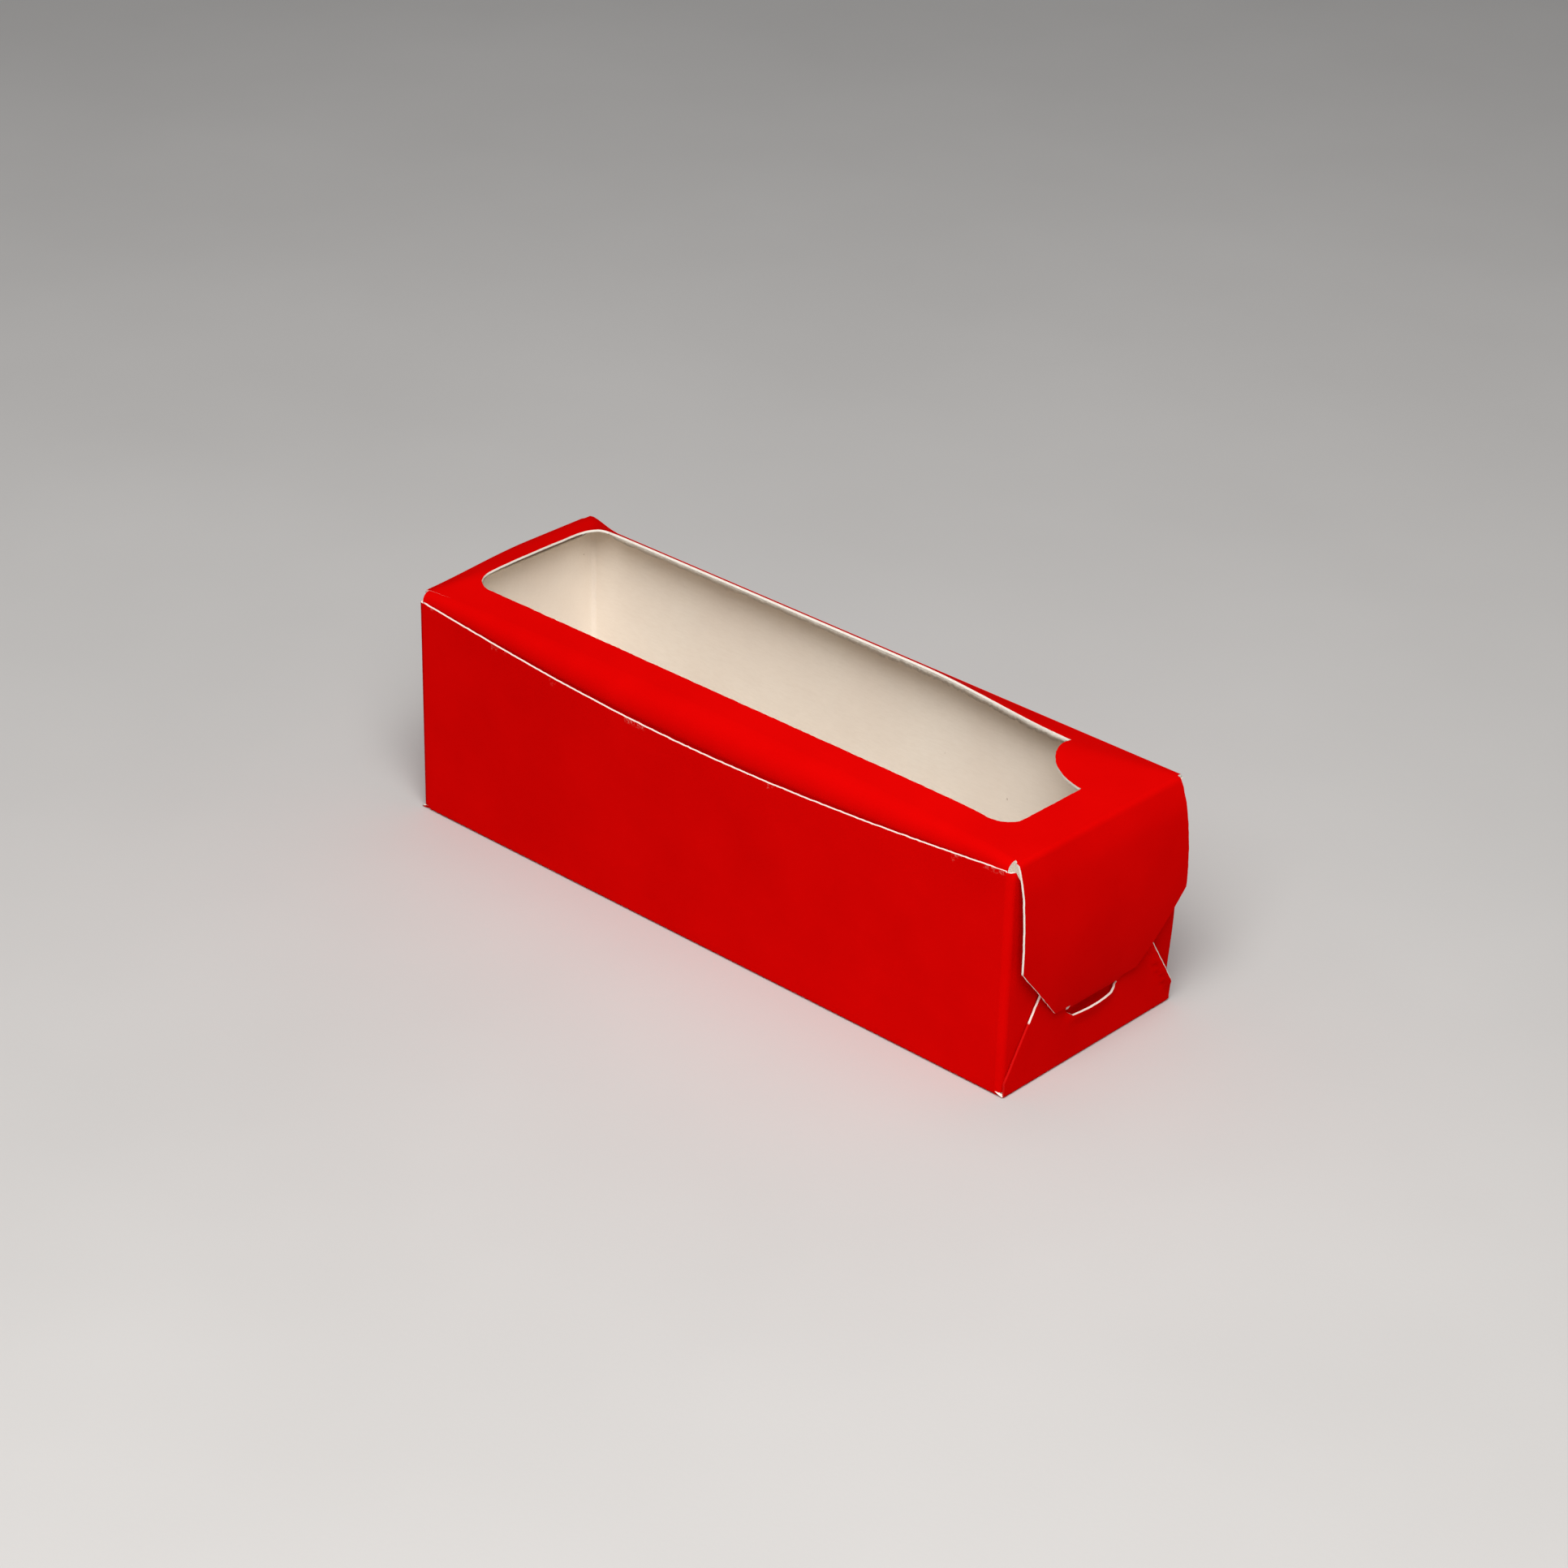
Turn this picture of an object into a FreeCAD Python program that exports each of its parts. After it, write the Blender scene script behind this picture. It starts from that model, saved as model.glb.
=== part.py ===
import FreeCAD, Part

import os

import Sketcher

# A folding carton die-cut from one sheet of board: four long panels, a tuck flap and four flaps at each end.
# Frame: origin under the middle of the closed box, +X along its length, -Y its front, +Z up, millimetres.

DRIVERS = {
    # the closed box, over its outer faces
    "box_length": 180,
    "box_width": 56.5,
    "wall_height": 56,
    # the board, and the space left at a fold and between two layers of board
    "board": 0.5,
    "fold_gap": 0.1,
    "ply_gap": 0.3,
    # the window in the lid: border widths, corner radius, and the round lobe left in one corner
    "border_front": 10.2,
    "border_back": 7.4,
    "border_left": 8.2,
    "border_right": 10.8,
    "window_radius": 5.5,
    "lobe_radius": 15,
    # how far each border has sprung up at the window's edge
    "rise_front": 2,
    "rise_back": 4,
    "rise_left": 3,
    "rise_right": 1,
    "roof_height": 5,
    # the front wall's hollow top edge
    "front_edge_middle": 49.8,
    "front_edge_end": 54.2,
    # the tuck flap
    "tuck_half_length": 82,
    "tuck_depth": 13,
    "tuck_taper": 5,
    "tuck_lean": 8,
    # the end flap of the lid, bowed outward, with a tongue at its tip
    "upper_half_width": 27,
    "shoulder_height": 30.7,
    "nose_height": 16,
    "nose_half_width": 13.6,
    "tongue_height": 12.4,
    "tongue_root_half": 8.5,
    "tongue_tip_half": 7,
    "tongue_corner": 0.6,
    "right_bow": 2.7,
    "left_bow": 0.3,
    "tongue_standoff": 1.4,
    "waste_margin": 1,
    # the end flap of the bottom, with the slit that takes the tongue
    "lower_half_width": 27.9,
    "lower_step": 3.6,
    "lower_top_height": 27,
    "lower_top_half": 13.6,
    "slit_height": 11.5,
    "slit_width": 2.2,
    "slit_half": 8.6,
    "slit_lift": 1.6,
    "slit_bend": 2,
    "slit_end_run": 0.6,
    "slit_end_rise": 0.8,
    # the four dust flaps
    "front_dust_depth": 18,
    "back_dust_depth": 36,
    "front_dust_top": 50,
    "back_dust_top": 53.4,
    "dust_foot": 1,
    "dust_shoulder": 54,
    "dust_relief": 2.8,
    "dust_radius": 2,
}

DERIVED = {
    "half_board": "board / 2",
    "fold_start": "board / 2 + fold_gap",
    "ply_step": "board + ply_gap",
    # mid-planes of the panels, which cross at the creases
    "end_plane": "box_length / 2 - board / 2",
    "side_plane": "box_width / 2 - board / 2",
    "lid_plane": "wall_height - board / 2",
    "dust_plane": "end_plane - ply_step",
    "tuck_plane": "side_plane - ply_step",
    # inner faces, where the creases that fold inward turn
    "dust_inner": "dust_plane - half_board",
    "side_inner": "side_plane - half_board",
    "tuck_inner": "tuck_plane - half_board",
    "lid_inner": "lid_plane - half_board",
    "lid_outer": "lid_plane + half_board",
    # the window's straight edges
    "window_front": "-box_width / 2 + border_front",
    "window_back": "box_width / 2 - border_back",
    "window_left": "-box_length / 2 + border_left",
    "window_right": "box_length / 2 - border_right",
    # the lid's outline, and how far in from it each sloping border reaches the roof height
    "lid_front": "-tuck_inner",
    "lid_back": "side_plane - fold_start",
    "run_front": "roof_height * (window_front - lid_front) / rise_front",
    "run_back": "roof_height * (lid_back - window_back) / rise_back",
    "run_left": "roof_height * (end_plane + window_left) / rise_left",
    "run_right": "roof_height * (end_plane - window_right) / rise_right",
    # the front wall's top edge is an arc about a point high above it
    "edge_dip": "front_edge_end - front_edge_middle",
    "edge_radius": "(dust_inner * dust_inner + edge_dip * edge_dip) / (2 * edge_dip)",
    "edge_centre": "front_edge_middle + edge_radius",
    # each end flap of the lid is a strip of a tube about an axis far inside the box
    "flap_middle": "(lid_plane + tongue_height) / 2",
    "flap_half_chord": "(lid_plane - fold_start - tongue_height) / 2",
    "right_radius": "(flap_half_chord * flap_half_chord + right_bow * right_bow) / (2 * right_bow)",
    "right_centre": "end_plane + tongue_standoff / 2 + right_bow - right_radius",
    "right_angle": "2 * asin(flap_half_chord / right_radius) / 1deg",
    "left_radius": "(flap_half_chord * flap_half_chord + left_bow * left_bow) / (2 * left_bow)",
    "left_centre": "end_plane + tongue_standoff / 2 + left_bow - left_radius",
    "left_angle": "2 * asin(flap_half_chord / left_radius) / 1deg",
}

NODES = []


def driver_sheet(doc):
    """The sheet of driving dimensions, and those that follow from them."""
    sheet = doc.addObject("Spreadsheet::Sheet", "Drivers")
    row = 1
    for name, number in DRIVERS.items():
        sheet.set(f"A{row}", name)
        sheet.set(f"B{row}", str(number))
        sheet.setAlias(f"B{row}", name)
        row += 1
    for name, formula in DERIVED.items():
        sheet.set(f"A{row}", name)
        sheet.set(f"B{row}", "=" + formula)
        sheet.setAlias(f"B{row}", name)
        row += 1
    doc.recompute()
    return sheet


def bound(text):
    """The formula with each sheet name in it spelt out as a reference to the sheet."""
    words = []
    for word in str(text).split():
        bare = word.strip("()")
        if bare in DRIVERS or bare in DERIVED:
            word = word.replace(bare, "Drivers." + bare)
        words.append(word)
    return " ".join(words)


def value(doc, text):
    """The number a formula gives now."""
    return float(doc.Drivers.evalExpression(bound(text)))


def new_body(doc, label):
    """An empty body for one panel, kept in the list of nodes."""
    body = doc.addObject("PartDesign::Body", label)
    body.Label = label
    NODES.append(body)
    return body


def place(body, base, turn=0):
    """Put a finished body at formulas base, turned about +Z by turn degrees."""
    body.Placement = FreeCAD.Placement(FreeCAD.Vector(), FreeCAD.Rotation(FreeCAD.Vector(0, 0, 1), turn))
    for axis, text in zip("xyz", base):
        body.setExpression(f"Placement.Base.{axis}", bound(text))


def bind_point(sketch, edge, end, point):
    """Hold one end of an edge at a pair of formulas measured from the sketch's origin."""
    doc = sketch.Document
    for kind, text in zip(("DistanceX", "DistanceY"), point):
        rule = Sketcher.Constraint(kind, -1, 1, edge, end, value(doc, text))
        number = sketch.addConstraint(rule)
        sketch.setExpression(f"Constraints[{number}]", bound(text))


def bind_centre(sketch, edge, centre, chord):
    """Hold an arc's centre along the direction that its end points leave free."""
    kind, text = ("DistanceY", centre[1]) if abs(chord.x) >= abs(chord.y) else ("DistanceX", centre[0])
    rule = Sketcher.Constraint(kind, -1, 1, edge, 3, value(sketch.Document, text))
    number = sketch.addConstraint(rule)
    sketch.setExpression(f"Constraints[{number}]", bound(text))


def arc_edge(sketch, start, finish, centre):
    """Add the short arc from start to finish about centre, and return its edge and which ends are which."""
    first = start - centre
    last = finish - centre
    turns_left = first.x * last.y - first.y * last.x > 0
    circle = Part.Circle(centre, FreeCAD.Vector(0, 0, 1), first.Length)
    if turns_left:
        edge = sketch.addGeometry(Part.ArcOfCircle(circle, circle.parameter(start), circle.parameter(finish)))
        return edge, 1, 2
    edge = sketch.addGeometry(Part.ArcOfCircle(circle, circle.parameter(finish), circle.parameter(start)))
    return edge, 2, 1


def outline(body, name, plane, loops, offset=(0, 0, 0)):
    """A sketch of closed loops; a loop is a list of (x, y) or, where an arc leads on, (x, y, (cx, cy))."""
    doc = body.Document
    sketch = body.newObject("Sketcher::SketchObject", name)
    base = next(item for item in body.Origin.OriginFeatures if item.Role == plane)
    sketch.AttachmentSupport = [(base, "")]
    sketch.MapMode = "FlatFace"
    for axis, text in zip("xyz", offset):
        sketch.setExpression(f"AttachmentOffset.Base.{axis}", bound(text))
    for loop in loops:
        spots = [FreeCAD.Vector(value(doc, p[0]), value(doc, p[1]), 0) for p in loop]
        ends = []
        for i, point in enumerate(loop):
            start, finish = spots[i], spots[(i + 1) % len(loop)]
            if len(point) == 3:
                centre = FreeCAD.Vector(value(doc, point[2][0]), value(doc, point[2][1]), 0)
                ends.append(arc_edge(sketch, start, finish, centre))
            else:
                ends.append((sketch.addGeometry(Part.LineSegment(start, finish)), 1, 2))
        for i, point in enumerate(loop):
            edge, first, last = ends[i]
            after, its_first, _ = ends[(i + 1) % len(loop)]
            sketch.addConstraint(Sketcher.Constraint("Coincident", edge, last, after, its_first))
            bind_point(sketch, edge, first, point[:2])
            if len(point) == 3:
                bind_centre(sketch, edge, point[2], spots[(i + 1) % len(loop)] - spots[i])
    doc.recompute()
    return sketch


def pad(body, name, sketch, thickness):
    """Board of the given thickness, half on each side of the sketch."""
    feature = body.newObject("PartDesign::Pad", name)
    feature.Profile = sketch
    feature.Midplane = True
    feature.setExpression("Length", bound(thickness))
    sketch.Visibility = False
    body.Document.recompute()
    return feature


def pocket(body, name, sketch):
    """Cut the sketch through everything, both ways."""
    feature = body.newObject("PartDesign::Pocket", name)
    feature.Profile = sketch
    feature.Type = "ThroughAll"
    feature.Midplane = True
    sketch.Visibility = False
    body.Document.recompute()
    return feature


def bead(body, name, length, spot, axis, radius="half_board", sweep=360, turn=0):
    """A round fold along axis, centred on spot; with a sweep of 90 it is only the outside of the corner."""
    feature = body.newObject("PartDesign::AdditiveCylinder", name)
    feature.Angle = sweep
    feature.setExpression("Radius", bound(radius))
    feature.setExpression("Height", bound(length))
    along = FreeCAD.Rotation(FreeCAD.Vector(0, 0, 1), axis)
    spin = FreeCAD.Rotation(FreeCAD.Vector(0, 0, 1), turn)
    feature.AttachmentOffset = FreeCAD.Placement(FreeCAD.Vector(), along * spin)
    base = next(item for item in body.Origin.OriginFeatures if item.Role == "XY_Plane")
    feature.AttachmentSupport = [(base, "")]
    feature.MapMode = "ObjectXY"
    for name_of_axis, text in zip("xyz", spot):
        feature.setExpression(f"AttachmentOffset.Base.{name_of_axis}", bound(text))
    body.Document.recompute()
    return feature


def mirrored(loop):
    """The same loop on the other side of the sketch's vertical axis."""
    return [(f"-( {x} )", y) for x, y in loop]


def bottom_panel(doc):
    """The floor of the box, with a round fold along each of its four edges."""
    body = new_body(doc, "bottom_panel")
    corners = [
        ("-1 * end_plane", "-1 * side_plane"),
        ("end_plane", "-1 * side_plane"),
        ("end_plane", "side_plane"),
        ("-1 * end_plane", "side_plane"),
    ]
    sketch = outline(body, "floor_outline", "XY_Plane", [corners], ("0", "0", "half_board"))
    pad(body, "floor", sketch, "board")
    lengthwise = FreeCAD.Vector(1, 0, 0)
    across = FreeCAD.Vector(0, 1, 0)
    for side, y in (("front", "-1 * side_plane"), ("back", "side_plane")):
        bead(body, f"{side}_fold", "2 * end_plane", ("-1 * end_plane", y, "half_board"), lengthwise)
    for side, x in (("left", "-1 * end_plane"), ("right", "end_plane")):
        bead(body, f"{side}_fold", "2 * side_plane", (x, "-1 * side_plane", "half_board"), across)


def corner_folds(body, height):
    """The rounded outside corners of a side wall, which stand 90 degrees round from each other."""
    upright = FreeCAD.Vector(0, 0, 1)
    foot = "half_board + fold_start"
    tall = f"{height} - half_board - fold_start"
    for side, x, turn in (("right", "dust_inner", -90), ("left", "-1 * dust_inner", 180)):
        bead(body, f"{side}_corner", tall, (x, "half_board", foot), upright, "board", 90, turn)


def front_wall(doc):
    """The front wall, whose free top edge is cut to a shallow hollow arc."""
    body = new_body(doc, "front_wall")
    loop = [
        ("-1 * dust_inner", "half_board + fold_start"),
        ("dust_inner", "half_board + fold_start"),
        ("dust_inner", "front_edge_end", ("0", "edge_centre")),
        ("-1 * dust_inner", "front_edge_end"),
    ]
    pad(body, "wall", outline(body, "wall_outline", "XZ_Plane", [loop]), "board")
    corner_folds(body, "dust_shoulder")
    place(body, ("0", "-1 * side_plane", "0"))


def back_wall(doc):
    """The back wall, with the lid's fold along its top edge."""
    body = new_body(doc, "back_wall")
    loop = [
        ("-1 * dust_inner", "half_board + fold_start"),
        ("dust_inner", "half_board + fold_start"),
        ("dust_inner", "lid_plane"),
        ("-1 * dust_inner", "lid_plane"),
    ]
    pad(body, "wall", outline(body, "wall_outline", "XZ_Plane", [loop]), "board")
    corner_folds(body, "dust_shoulder")
    bead(body, "lid_fold", "2 * dust_inner", ("-1 * dust_inner", "0", "lid_plane"), FreeCAD.Vector(1, 0, 0))
    place(body, ("0", "side_plane", "0"), 180)


def sloping_roof(body, kind, name, drop):
    """Four borders that slope up from the lid's outline, as a solid; drop lowers it."""
    roof = body.newObject(f"PartDesign::{kind}Wedge", name)
    sizes = {
        "Xmin": "-1 * end_plane",
        "Xmax": "end_plane",
        "X2min": "-1 * end_plane + run_left",
        "X2max": "end_plane - run_right",
        "Ymin": "0",
        "Ymax": "roof_height",
        "Zmin": "-1 * lid_back",
        "Zmax": "-1 * lid_front",
        "Z2min": "-1 * lid_back + run_back",
        "Z2max": "-1 * lid_front - run_front",
    }
    # the upper limits are set first, as a wedge never lets a lower limit pass its upper one
    for item in sorted(sizes, reverse=True, key=lambda word: "max" in word):
        roof.setExpression(item, bound(sizes[item]))
    upright = FreeCAD.Rotation(FreeCAD.Vector(1, 0, 0), 90)
    roof.AttachmentOffset = FreeCAD.Placement(FreeCAD.Vector(), upright)
    base = next(item for item in body.Origin.OriginFeatures if item.Role == "XY_Plane")
    roof.AttachmentSupport = [(base, "")]
    roof.MapMode = "ObjectXY"
    roof.setExpression("AttachmentOffset.Base.z", bound(f"lid_outer - {drop}"))
    body.Document.recompute()
    return roof


def window_loop():
    """The window: three rounded corners, and a convex lobe of board left in the fourth."""
    left, right, front, back = "window_left", "window_right", "window_front", "window_back"
    round_by, lobe = "window_radius", "lobe_radius"
    return [
        (f"{left} + {round_by}", front),
        (f"{right} - {round_by}", front, (f"{right} - {round_by}", f"{front} + {round_by}")),
        (right, f"{front} + {round_by}"),
        (right, f"{back} - {lobe}", (right, back)),
        (f"{right} - {lobe}", back),
        (f"{left} + {round_by}", back, (f"{left} + {round_by}", f"{back} - {round_by}")),
        (left, f"{back} - {round_by}"),
        (left, f"{front} + {round_by}", (f"{left} + {round_by}", f"{front} + {round_by}")),
    ]


def lid_panel(doc):
    """The lid: four borders that have sprung up round a long window."""
    body = new_body(doc, "lid_panel")
    loop = [
        ("-1 * end_plane", "lid_front"),
        ("end_plane", "lid_front"),
        ("end_plane", "lid_back"),
        ("-1 * end_plane", "lid_back"),
    ]
    pad(body, "plate", outline(body, "plate_outline", "XY_Plane", [loop], ("0", "0", "lid_plane")), "board")
    sloping_roof(body, "Additive", "borders", "0")
    sloping_roof(body, "Subtractive", "hollow", "board")
    pocket(body, "window", outline(body, "window_outline", "XY_Plane", [window_loop()]))
    across = FreeCAD.Vector(0, 1, 0)
    for side, x in (("left", "-1 * end_plane"), ("right", "end_plane")):
        bead(body, f"{side}_fold", "lid_back - lid_front", (x, "lid_front", "lid_plane"), across)
    spot = ("-1 * dust_inner", "lid_front", "lid_inner")
    bead(body, "front_fold", "2 * dust_inner", spot, FreeCAD.Vector(1, 0, 0), "board", 90, 180)


def tuck_flap(doc):
    """The flap at the lid's front, which leans inward behind the front wall."""
    body = new_body(doc, "tuck_flap")
    loop = [
        ("-1 * tuck_half_length", "-1 * tuck_depth + tuck_taper"),
        ("-1 * tuck_half_length + tuck_taper", "-1 * tuck_depth"),
        ("tuck_half_length - tuck_taper", "-1 * tuck_depth"),
        ("tuck_half_length", "-1 * tuck_depth + tuck_taper"),
        ("tuck_half_length", "-1 * fold_gap"),
        ("-1 * tuck_half_length", "-1 * fold_gap"),
    ]
    sketch = outline(body, "flap_outline", "XZ_Plane", [loop], ("0", "0", "half_board"))
    pad(body, "flap", sketch, "board")
    place(body, ("0", "-1 * tuck_inner", "lid_inner"))
    lean = value(doc, "tuck_lean")
    body.Placement.Rotation = FreeCAD.Rotation(FreeCAD.Vector(1, 0, 0), lean)
    body.setExpression("Placement.Rotation.Axis.x", "1")
    body.setExpression("Placement.Rotation.Angle", bound("tuck_lean"))


def upper_end_flap(doc, side, turn):
    """The lid's end flap: a strip with cut-off corners and a tongue. Only the right one is well bowed."""
    body = new_body(doc, f"{side}_upper_end_flap")
    near, far = f"{side}_radius - half_board", f"{side}_radius + half_board"
    low, high = "-1 * upper_half_width", "upper_half_width"
    section = outline(
        body,
        "strip_section",
        "XY_Plane",
        [[(near, low), (far, low), (far, high), (near, high)]],
        (f"{side}_centre", "0", "flap_middle - fold_start / 2"),
    )
    strip = body.newObject("PartDesign::Revolution", "strip")
    strip.Profile = section
    strip.ReferenceAxis = (section, ["V_Axis"])
    strip.Midplane = True
    strip.setExpression("Angle", bound(f"{side}_angle"))
    section.Visibility = False
    doc.recompute()
    waste = [
        ("upper_half_width + waste_margin", "shoulder_height + waste_margin"),
        ("upper_half_width", "shoulder_height"),
        ("nose_half_width", "nose_height"),
        ("tongue_root_half", "nose_height"),
        ("tongue_tip_half", "tongue_height + tongue_corner"),
        ("tongue_tip_half", "tongue_height - waste_margin"),
        ("upper_half_width + waste_margin", "tongue_height - waste_margin"),
    ]
    pocket(body, "corners", outline(body, "corner_waste", "YZ_Plane", [waste, mirrored(waste)]))
    place(body, ("0", "0", "0"), turn)


def lower_end_flap(doc, side, turn):
    """The bottom's end flap: a tapering flap with a curved slit for the tongue."""
    body = new_body(doc, f"{side}_lower_end_flap")
    half = [
        ("lower_half_width", "half_board + fold_start"),
        ("lower_half_width", "lower_step"),
        ("lower_top_half", "lower_top_height"),
    ]
    loop = half + list(reversed(mirrored(half)))
    tips = "slit_height + slit_lift"
    slit = [
        ("-1 * slit_half + slit_bend", "slit_height"),
        ("slit_half - slit_bend", "slit_height"),
        ("slit_half", tips),
        ("slit_half - slit_end_run", f"{tips} + slit_end_rise"),
        ("slit_half - slit_bend", "slit_height + slit_width"),
        ("-1 * slit_half + slit_bend", "slit_height + slit_width"),
        ("-1 * slit_half + slit_end_run", f"{tips} + slit_end_rise"),
        ("-1 * slit_half", tips),
    ]
    pad(body, "flap", outline(body, "flap_outline", "YZ_Plane", [loop, slit]), "board")
    x = "-1 * end_plane" if turn else "end_plane"
    place(body, (x, "0", "0"), turn)


def dust_flap(doc, side, wall, turn):
    """A dust flap, hung on the upright edge of a side wall and folded in behind the end flaps."""
    body = new_body(doc, f"{side}_{wall}_dust_flap")
    depth, top = f"{wall}_dust_depth", f"{wall}_dust_top"
    loop = [
        ("fold_gap", "dust_foot"),
        (depth, "dust_foot"),
        (depth, f"{top} - dust_radius", (f"{depth} - dust_radius", f"{top} - dust_radius")),
        (f"{depth} - dust_radius", top),
        ("dust_relief", top),
        ("fold_gap", "dust_shoulder"),
    ]
    pad(body, "flap", outline(body, "flap_outline", "YZ_Plane", [loop]), "board")
    x = "-1 * dust_plane" if side == "left" else "dust_plane"
    y = "-1 * side_inner" if wall == "front" else "side_inner"
    place(body, (x, y, "0"), turn)


def check(doc):
    """Stop if any object failed to rebuild or any node is not one sound solid."""
    for item in doc.Objects:
        if "Invalid" in item.State or "Error" in item.State:
            raise RuntimeError(f"{item.Name}: {item.State}")
    for body in NODES:
        shape = body.Shape
        if shape.isNull() or not shape.isValid() or len(shape.Solids) != 1 or shape.Volume <= 0:
            raise RuntimeError(f"{body.Label} is not one valid solid")


def export():
    """Write one STEP file for each node."""
    os.makedirs("parts", exist_ok=True)
    for body in NODES:
        body.Shape.exportStep(f"parts/{body.Label}.step")
        box = body.Shape.BoundBox
        print(
            f"{body.Label:24s} {body.Shape.Volume:9.1f} mm3  x {box.XMin:.2f}..{box.XMax:.2f}"
            f"  y {box.YMin:.2f}..{box.YMax:.2f}  z {box.ZMin:.2f}..{box.ZMax:.2f}"
        )


def build():
    doc = FreeCAD.newDocument("window_carton")
    driver_sheet(doc)
    bottom_panel(doc)
    front_wall(doc)
    back_wall(doc)
    lid_panel(doc)
    tuck_flap(doc)
    for side, turn in (("right", 0), ("left", 180)):
        upper_end_flap(doc, side, turn)
        lower_end_flap(doc, side, turn)
        for wall, facing in (("front", 0), ("back", 180)):
            dust_flap(doc, side, wall, facing)
    doc.recompute()
    check(doc)
    export()


build()
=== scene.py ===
import math
import random

import bpy
import numpy as np
from mathutils import Matrix, Vector, geometry, noise


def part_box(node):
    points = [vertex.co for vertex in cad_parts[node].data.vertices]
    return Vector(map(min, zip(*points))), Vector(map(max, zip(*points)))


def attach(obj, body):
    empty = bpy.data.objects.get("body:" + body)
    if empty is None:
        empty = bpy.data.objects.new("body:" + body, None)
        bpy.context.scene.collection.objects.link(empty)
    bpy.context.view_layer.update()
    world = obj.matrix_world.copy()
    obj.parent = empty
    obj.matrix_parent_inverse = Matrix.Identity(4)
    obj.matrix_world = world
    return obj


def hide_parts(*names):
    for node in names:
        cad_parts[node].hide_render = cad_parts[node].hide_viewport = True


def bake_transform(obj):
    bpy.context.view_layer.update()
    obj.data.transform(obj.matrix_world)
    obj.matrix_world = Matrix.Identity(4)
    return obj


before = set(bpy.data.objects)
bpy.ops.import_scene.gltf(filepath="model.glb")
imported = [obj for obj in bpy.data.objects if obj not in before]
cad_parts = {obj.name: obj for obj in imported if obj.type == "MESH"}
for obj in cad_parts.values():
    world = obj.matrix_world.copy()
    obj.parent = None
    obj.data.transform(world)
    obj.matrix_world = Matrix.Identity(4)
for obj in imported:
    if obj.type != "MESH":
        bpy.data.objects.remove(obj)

# A red folding carton, drawn as thin sheets of board in millimetres and scaled to metres in the meshes.
# Each panel is laid out flat in (s, t): s runs along its crease and t away from it. A map then folds it up.

MM = 0.001
X, Y, Z = Vector((1, 0, 0)), Vector((0, 1, 0)), Vector((0, 0, 1))
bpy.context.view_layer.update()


def low(node):
    """The lowest corner of a CAD node, in millimetres."""
    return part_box(node)[0] / MM


def high(node):
    """The highest corner of a CAD node, in millimetres."""
    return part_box(node)[1] / MM


# sizes of the closed box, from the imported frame
HALF_LENGTH = high("bottom_panel").x
HALF_WIDTH = high("bottom_panel").y
BOARD = high("bottom_panel").z
TOP = high("back_wall").z
DUST_FACE = high("right_front_dust_flap").x
DUST_HEIGHT = high("right_front_dust_flap").z
DUST_FOOT = low("right_front_dust_flap").z
FRONT_EDGE_END = high("front_wall").z
TUCK_HALF = high("tuck_flap").x
TUCK_BOTTOM = low("tuck_flap").z
UPPER_HALF = high("right_upper_end_flap").y - 0.4
UPPER_TIP = low("right_upper_end_flap").z
RIGHT_BOW = high("right_upper_end_flap").x - HALF_LENGTH - 0.5
LOWER_HALF = high("right_lower_end_flap").y
LOWER_TOP = high("right_lower_end_flap").z

# the dust flaps' tops, lower than their shoulders beside the walls, and their rounded corners
DUST_TOP = {"front": 50, "back": 53.4}
DUST_RADIUS = 2

# outside radii of the folds
BASE_ROLL = 0.8
CORNER_ROLL = 1.6
LID_ROLL = 1.1
END_ROLL = 1.2

# the lid's soft front roll: its radius in the middle and at the ends, the t where it ends, half of how
# far it runs along the box, and the angle in degrees that the board has turned through by its end
ROLL_MIDDLE, ROLL_END, ROLL_LENGTH = 6, 2, 8
ROLL_HALF = 88
TUCK_TURN = 98

# the window, how high each border has sprung up along it, what the back border keeps of that beside
# the lobe, and how far the left crease has lifted
WINDOW_FRONT, WINDOW_BACK = -18.05, 20.85
WINDOW_LEFT, WINDOW_RIGHT = -81.8, 79.2
WINDOW_RADIUS = 5.5
LOBE_RADIUS = 15
RISE_FRONT, RISE_BACK, RISE_LEFT, RISE_RIGHT = 2.0, 4.0, 3.0, 1.0
BACK_REST = 0.36
LEFT_LIFT = 1.9

# the front edge: the middle of its hollow arc, how far the wall and the lid bulge there, and the lid's front
FRONT_EDGE_MIDDLE = 49.8
WALL_BULGE = 1.5
LID_BULGE = 0.9
LID_FRONT = -27.55

# the end flaps
UPPER_SHOULDER, UPPER_NOSE, UPPER_NOSE_HALF = 30.7, 15.2, 13.6
TONGUE_ROOT, TONGUE_TIP, TONGUE_END = 8.6, 8.2, 9.6
LOWER_STEP, LOWER_TOP_HALF = 3.6, 13.6
SLIT_HEIGHT, SLIT_WIDTH, SLIT_HALF, SLIT_LIFT = 11.5, 2.2, 8.6, 1.6
# how far they leave their planes: the upper flap's stand-off, slack front edge and tongue, the slit's
# lower lip and the board above it, the lower flap's curled edge, and the swollen corner beside it
FLAP_STAND, FRONT_SLACK, TONGUE_DIVE = 0.5, 1.1, 2.2
LIP_PUSH, TONGUE_PRESS, EDGE_CURL, CORNER_SWELL = 1.2, 0.25, 1.7, 1.3
# how much narrower each side of the left pair is, and the height below which the front cut edge is crushed
LEFT_TRIM, CRUSHED_BELOW = 1.4, 15


def ease(x):
    """0 below 0, 1 above 1, and smooth between."""
    x = min(max(x, 0), 1)
    return x * x * (3 - 2 * x)


def crown(x, half):
    """1 in the middle and 0 at half from it, smooth at both."""
    share = min(abs(x) / half, 1)
    return (1 - share * share) ** 2


# ---- outlines ------------------------------------------------------------------------------------


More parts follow.
